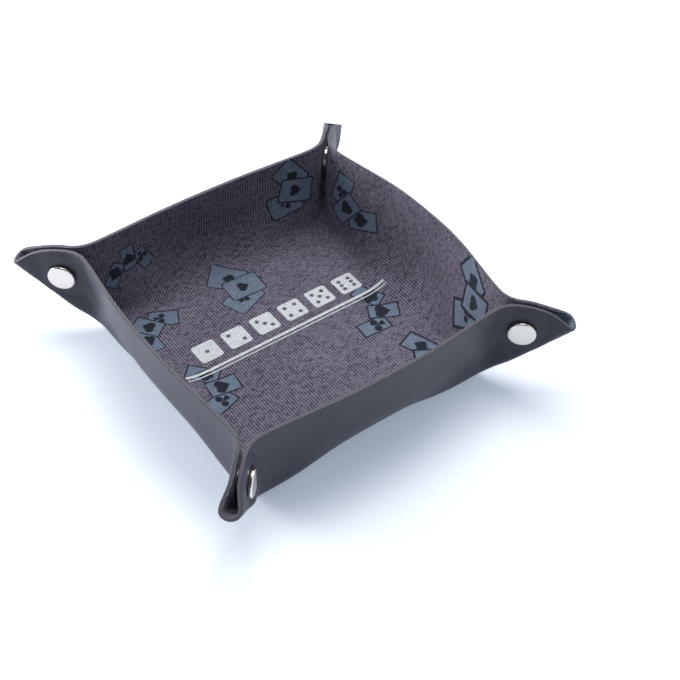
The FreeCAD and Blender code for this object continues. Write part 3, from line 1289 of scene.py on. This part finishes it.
@dataclass
class Snap:
    """One press stud: cap, socket, ring spring, stud and post, on one axis.

    Heights are along the axis, in millimetres, from between the flanks out through the cap.
    """

    ear: Ear
    form: SheetForm
    cap_finish: bpy.types.Material
    steel: bpy.types.Material
    wire_finish: bpy.types.Material
    seat: float = 0.02
    cap_radius: float = 6.25
    cap_height: float = 2.2
    cap_crown: float = 0.16
    cap_face: float = 5.35
    cap_side: float = 1.25
    cap_under: Pair = (0.6, 0.45)
    crown_steps: int = 6
    barrel: float = 1.7
    clench: tuple[Pair, ...] = ((0.0, 0.02), (0.55, 0.04), (0.5, 0.22))
    socket_radius: float = 5.5
    socket_edge: float = 0.3
    socket_front: float = 0.7
    socket_height: float = 2.5
    socket_plate: float = 0.6
    socket_mouth: float = 3.2
    socket_lip: float = 0.55
    chamber: float = 3.8
    wire: float = 0.275
    wire_sides: int = 10
    spring_open: float = 25.0
    spring_steps: int = 14
    grip_air: float = 0.05
    flange_radius: float = 4.8
    flange: float = 0.5
    head: float = 2.45
    head_round: float = 0.3
    neck: float = 2.05
    stud_reach: float = 1.55
    head_height: float = 0.2
    post_radius: float = 4.5
    post_height: float = 0.9
    post_roll: Pair = (0.7, 0.35)
    post_foot: float = 0.12
    bore: float = 1.0
    dish: Pair = (1.0, 0.55)
    small_round: float = 0.25
    sharp_angle: float = math.radians(38.0)
    segments: int = 96

    @property
    def cap_seat(self) -> float:
        """Give the height of a flank's outer face."""
        return self.form.pocket / 2 + self.form.liner + self.form.leather + self.seat

    @property
    def socket_back(self) -> float:
        """Give the height of the socket's seat on the liner."""
        return self.form.pocket / 2 - self.seat

    @property
    def stud_face(self) -> float:
        """Give the height of the stud's flange, on the socket's side."""
        return -self.form.pocket / 2 + self.seat + self.flange

    def place(self) -> Matrix:
        """Find the snap's frame in the tray's frame.

        Returns:
            The snap's frame, in metres.
        """
        centre = self.ear.diagonal() * self.form.snap_out
        centre = Vector((centre[0], centre[1], self.form.snap_up + self.form.leather)) * MM
        turn = Vector((0.0, 0.0, 1.0)).rotation_difference(Vector(self.ear.cap_side()))
        return Matrix.Translation(centre) @ turn.to_matrix().to_4x4() @ Matrix.Scale(MM, 4)

    def turned(self, name: str, outline: Profile) -> bpy.types.Mesh:
        """Turn a closed outline about the snap's axis.

        Args:
            name: the mesh's name.
            outline: (radius, height) points; those at radius zero lie on the axis.

        Returns:
            The mesh, in place.
        """
        points: list[Point] = []
        rings: list[list[int]] = []
        for radius, height in outline:
            start = len(points)
            if radius < TINY:
                points.append((0.0, 0.0, height))
                rings.append([start] * self.segments)
                continue
            for k in range(self.segments):
                angle = 2 * math.pi * k / self.segments
                points.append((radius * math.cos(angle), radius * math.sin(angle), height))
            rings.append(list(range(start, start + self.segments)))
        faces = []
        for ring, after in zip(rings, rings[1:] + rings[:1]):
            if ring[0] == ring[1] and after[0] == after[1]:
                continue
            for k in range(self.segments):
                n = (k + 1) % self.segments
                corners = (ring[k], after[k], after[n], ring[n])
                faces.append(tuple(dict.fromkeys(corners)))
        return self.finished(name, points, faces)

    def finished(self, name: str, points: list[Point], faces: Faces) -> bpy.types.Mesh:
        """Make a mesh with outward normals and soft shading, in place.

        Args:
            name: the mesh's name.
            points: its points in the snap's frame.
            faces: its faces.

        Returns:
            The mesh.
        """
        mesh = bpy.data.meshes.new(name)
        mesh.from_pydata(points, [], faces)
        mesh.transform(self.place())
        mesh.polygons.foreach_set("use_smooth", [True] * len(faces))
        mesh.set_sharp_from_angle(angle=self.sharp_angle)
        mesh.update()
        return mesh

    def cap_outline(self) -> Profile:
        """Outline the domed cap with its rolled edge, and its rivet barrel.

        Returns:
            The closed (radius, height) outline.
        """
        base = self.cap_seat
        shares = [k / self.crown_steps for k in range(self.crown_steps + 1)]
        top = base + self.cap_height
        crown = [(self.cap_face * share, top - self.cap_crown * share ** 2) for share in shares]
        side = base + self.cap_side
        bulge = (self.cap_radius - self.cap_face, crown[-1][1] - side)
        roll = arc(self.cap_face, side, bulge, 90, 0, 10)
        width, height = self.cap_under
        under = arc(self.cap_radius - width, base + height, (width, height), 0, -90, 5)
        end = self.socket_back - self.socket_plate
        clench = [(self.barrel + out, end - down) for out, down in self.clench]
        return crown + roll[1:] + under[1:] + [(self.barrel, base)] + clench + [(0.0, clench[-1][1])]

    def socket_outline(self) -> Profile:
        """Outline the cup on the liner, with the lip that keeps the spring in.

        Returns:
            The closed (radius, height) outline.
        """
        back, face = self.socket_back, self.socket_back - self.socket_height
        floor, lip = back - self.socket_plate, face + self.socket_lip
        hole = self.barrel + self.seat
        edge, front, mouth = self.socket_edge, self.socket_front, self.small_round
        return [
            (hole, back),
            *arc(self.socket_radius - edge, back - edge, edge, 90, 0, 4),
            *arc(self.socket_radius - front, face + front, front, 0, -90, 6),
            *arc(self.socket_mouth + mouth, face + mouth, mouth, -90, -180, 4),
            (self.socket_mouth, lip), (self.chamber, lip), (self.chamber, floor), (hole, floor),
        ]

    def stud_outline(self) -> Profile:
        """Outline the stud: a flange on the liner and a waisted hollow head.

        Returns:
            The closed (radius, height) outline.
        """
        back = -self.form.pocket / 2 + self.seat
        tip = self.stud_face + self.stud_reach
        hole = self.barrel + self.seat
        rim, head = self.small_round, self.head_round
        return [
            (hole, back),
            *arc(self.flange_radius - rim, back + rim, rim, -90, 90, 8),
            (self.neck + rim, self.stud_face), (self.neck, self.stud_face + rim),
            (self.neck, tip - self.head_height - head),
            *arc(self.head - head, tip - head, head, 0, 90, 5),
            (hole, tip),
        ]

    def post_outline(self) -> Profile:
        """Outline the eyelet that rivets the stud on, with its rolled ring outside.

        Returns:
            The closed (radius, height) outline.
        """
        base = -self.cap_seat
        tip = self.stud_face + self.stud_reach
        width, height = self.post_roll
        bulge = (width, self.post_height - height)
        outer = arc(self.post_radius - width, base - height, bulge, 0, -90, 6)
        width, height = self.dish
        dish = arc(self.bore + width, base - self.post_height + height, self.dish, -90, -180, 6)
        foot = [(self.barrel, base), (self.post_radius - self.post_foot, base)]
        return foot + outer + dish + [(self.bore, tip), (self.barrel, tip)]

    def spring_mesh(self, name: str) -> bpy.types.Mesh:
        """Bend the wire into its open oval ring.

        Args:
            name: the mesh's name.

        Returns:
            The mesh, in place.
        """
        bend = self.neck + self.grip_air + self.wire
        shift = self.chamber - 2 * self.grip_air - self.wire - bend
        face = self.socket_back - self.socket_height
        level = face + self.socket_lip + self.wire + self.grip_air
        steps = self.spring_steps
        turns = [(1, self.spring_open + (90 - self.spring_open) * k / steps) for k in range(steps + 1)]
        turns += [(-1, 90 + 180 * k / (2 * steps)) for k in range(2 * steps + 1)]
        turns += [(1, 270 + (90 - self.spring_open) * k / steps) for k in range(steps + 1)]
        line = np.array([
            (side * shift + bend * math.cos(math.radians(a)), bend * math.sin(math.radians(a)), level)
            for side, a in turns])
        ways = np.gradient(line, axis=0)
        ways /= np.linalg.norm(ways, axis=1)[:, None]
        up = np.array([0.0, 0.0, 1.0])
        around = self.wire_sides
        points: list[Point] = []
        for centre, way in zip(line, ways):
            aside = np.cross(way, up)
            for k in range(around):
                angle = 2 * math.pi * k / around
                spot = centre + self.wire * (math.cos(angle) * aside + math.sin(angle) * up)
                points.append(tuple(spot.tolist()))
        faces: Faces = []
        for k in range(len(line) - 1):
            for j in range(around):
                n = (j + 1) % around
                low, high = k * around, (k + 1) * around
                faces.append((low + j, low + n, high + n, high + j))
        end = (len(line) - 1) * around
        faces += [tuple(reversed(range(around))), tuple(range(end, end + around))]
        return self.finished(name, points, faces)

    def build(self) -> None:
        """Build the five pieces, each in the place of its node."""
        kinds = (
            ("cap", self.cap_outline, self.cap_finish, "root", "cap_nickel"),
            ("socket", self.socket_outline, self.steel, "root", "snap_steel"),
            ("stud", self.stud_outline, self.steel, self.ear.body, "snap_steel"),
            ("post", self.post_outline, self.cap_finish, self.ear.body, "snap_steel"),
        )
        for kind, outline, finish, body, slot in kinds:
            self.dress(self.turned(f"{kind}_{self.ear.name}", outline()), kind, finish, body)
        spring = self.spring_mesh(f"spring_{self.ear.name}")
        self.dress(spring, "spring", self.wire_finish, "root")

    def dress(
        self, mesh: bpy.types.Mesh, kind: str, finish: bpy.types.Material, body: str,
    ) -> None:
        """Give a snap piece its finish and its body, and hide the node that it stands for.

        Args:
            mesh: its mesh.
            kind: which of the five pieces it is.
            finish: its material.
            body: the body that it moves with.
        """
        mesh.materials.append(finish)
        piece = new_piece(f"{kind}_{self.ear.name}", mesh)
        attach(piece, body)
        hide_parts(f"snap_{kind}_{self.ear.name}")


# Floor, light and camera


@dataclass(frozen=True)
class Lamp:
    """A square lamp that points at the tray. Its side is in metres and its power in watts."""

    name: str
    place: Point
    side: float
    power: float

    def build(self) -> None:
        """Hang the lamp."""
        data = bpy.data.lights.new(self.name, "AREA")
        data.size = self.side
        data.energy = self.power
        lamp = bpy.data.objects.new(self.name, data)
        lamp.location = self.place
        lamp.rotation_euler = Vector(self.place).to_track_quat("Z", "Y").to_euler()
        bpy.context.scene.collection.objects.link(lamp)


@dataclass(frozen=True)
class Studio:
    """A pale floor, a large soft lamp high up behind, a weaker one on the left, and a pale sky.

    Polished metal sees a white sky with a dark patch on the side that the photograph is taken
    from. The floor that the eye sees glows a little, and more the farther off it is. Lengths are
    in metres.
    """

    floor_half: float = 3.0
    floor_drop: float = 0.00005
    floor_colour: Colour = (0.66, 0.69, 0.74)
    floor_roughness: float = 0.9
    floor_gloss: float = 0.1
    seen_colour: Colour = (0.94, 0.97, 1.0)
    glow_colour: Colour = (0.76, 0.90, 1.12)
    glow: float = 0.28
    glow_fade: Pair = (0.30, 1.40)
    sky_colour: Colour = (0.88, 0.95, 1.06)
    sky_strength: float = 0.30
    dark_way: Point = (-0.552, -0.452, 0.701)
    dark_edge: Pair = (0.70, 0.90)
    dark_level: float = 0.06
    lamps: tuple[Lamp, ...] = (
        Lamp("key", (0.32, 0.26, 1.18), 0.8, 12.0),
        Lamp("side", (-0.86, 1.0, 0.36), 0.7, 17.0),
    )

    def floor(self) -> None:
        """Lay the floor."""
        half = self.floor_half
        corners = [(-half, -half, 0.0), (half, -half, 0.0), (half, half, 0.0), (-half, half, 0.0)]
        mesh = bpy.data.meshes.new("floor")
        mesh.from_pydata(corners, [], [(0, 1, 2, 3)])
        shader = Shader("studio_floor")
        seen = shader.rays(*SEEN_RAYS)
        far = shader.place().length().step(*self.glow_fade)
        shader.set(
            Base_Color=seen.mix(self.floor_colour, self.seen_colour),
            Roughness=self.floor_roughness,
            Specular_IOR_Level=self.floor_gloss,
            Emission_Color=far.mix(self.glow_colour, self.seen_colour),
            Emission_Strength=seen * (far * (1.0 - self.glow) + self.glow),
        )
        mesh.materials.append(shader.material)
        floor = bpy.data.objects.new("studio_floor", mesh)
        floor.location.z = -self.floor_drop
        bpy.context.scene.collection.objects.link(floor)

    def sky(self) -> None:
        """Light the scene from all round."""
        world = bpy.data.worlds.new("studio_sky")
        bpy.context.scene.world = world
        world.use_nodes = True
        graph = Graph(world.node_tree)
        dark = graph.place("Generated").dot(self.dark_way).step(*self.dark_edge)
        patch = dark * graph.rays("Glossy") * (self.dark_level - 1.0) + 1.0
        plain = graph.node("Background", {"Color": self.sky_colour, "Strength": self.sky_strength})
        seen = graph.node("Background", {"Color": patch})
        skies = (Output(graph, background.outputs[0]) for background in (plain, seen))
        mixed = graph.node("MixShader", dict(enumerate((graph.rays(*SEEN_RAYS), *skies))))
        graph.node("OutputWorld", {"Surface": Output(graph, mixed.outputs[0])})

    def build(self) -> None:
        """Build the floor, the sky and the lamps."""
        self.floor()
        self.sky()
        for lamp in self.lamps:
            lamp.build()
        bpy.context.scene.view_settings.view_transform = "Standard"


@dataclass(frozen=True)
class Camera:
    """The camera: its place, its axes and its focal length for a square picture."""

    place: Point = (-0.22004, -0.32371, 0.40934)
    right: Point = (0.80598, -0.5916, 0.02038)
    up: Point = (0.41247, 0.58597, 0.69751)
    back: Point = (-0.42459, -0.55377, 0.71629)
    focal_pixels: float = 1253.48
    picture_pixels: int = 680
    sensor: float = 36.0
    nearest: float = 0.01

    def build(self) -> None:
        """Set the camera up."""
        data = bpy.data.cameras.new("camera")
        data.sensor_width = self.sensor
        data.lens = self.focal_pixels / self.picture_pixels * self.sensor
        data.clip_start = self.nearest
        camera = bpy.data.objects.new("camera", data)
        turn = Matrix((self.right, self.up, self.back)).transposed().to_4x4()
        camera.matrix_world = Matrix.Translation(self.place) @ turn
        bpy.context.scene.collection.objects.link(camera)
        bpy.context.scene.camera = camera


def main() -> None:
    """Build the camera, the two sheets, the four snaps and the studio."""
    logging.basicConfig(level=logging.INFO, format="%(name)s %(message)s")
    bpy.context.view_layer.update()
    Camera().build()
    form = SheetForm()
    net = SheetNet(form)
    leather_edge = CutEdge(
        "leatherette_edge", colour=(0.105, 0.100, 0.122), pale=(0.155, 0.148, 0.172)).make()
    liner_edge = CutEdge("liner_edge", colour=(0.120, 0.113, 0.135), pale=(0.190, 0.180, 0.205)).make()
    SheetLayer(
        "leatherette", "outer_leatherette", "leatherette",
        inner=0.0, outer=form.leather, inner_round=0.0, outer_round=0.28,
        form=form, net=net, skin=Leatherette().make(), edge=leather_edge,
    ).build()
    SheetLayer(
        "liner", "inner_liner", "liner_fabric",
        inner=-form.liner, outer=-0.02, inner_round=0.22, outer_round=0.0,
        form=form, net=net, skin=PrintedLiner().make(), edge=liner_edge,
    ).build()
    cap_finish = Nickel("cap_nickel").make()
    steel = Nickel("snap_steel", colour=(0.62, 0.61, 0.60), roughness=0.22).make()
    wire = Nickel("spring_wire", colour=(0.50, 0.50, 0.52), roughness=0.28).make()
    for ear in EARS:
        Snap(ear, form, cap_finish, steel, wire).build()
    Studio().build()


if __name__ == "__main__":
    main()
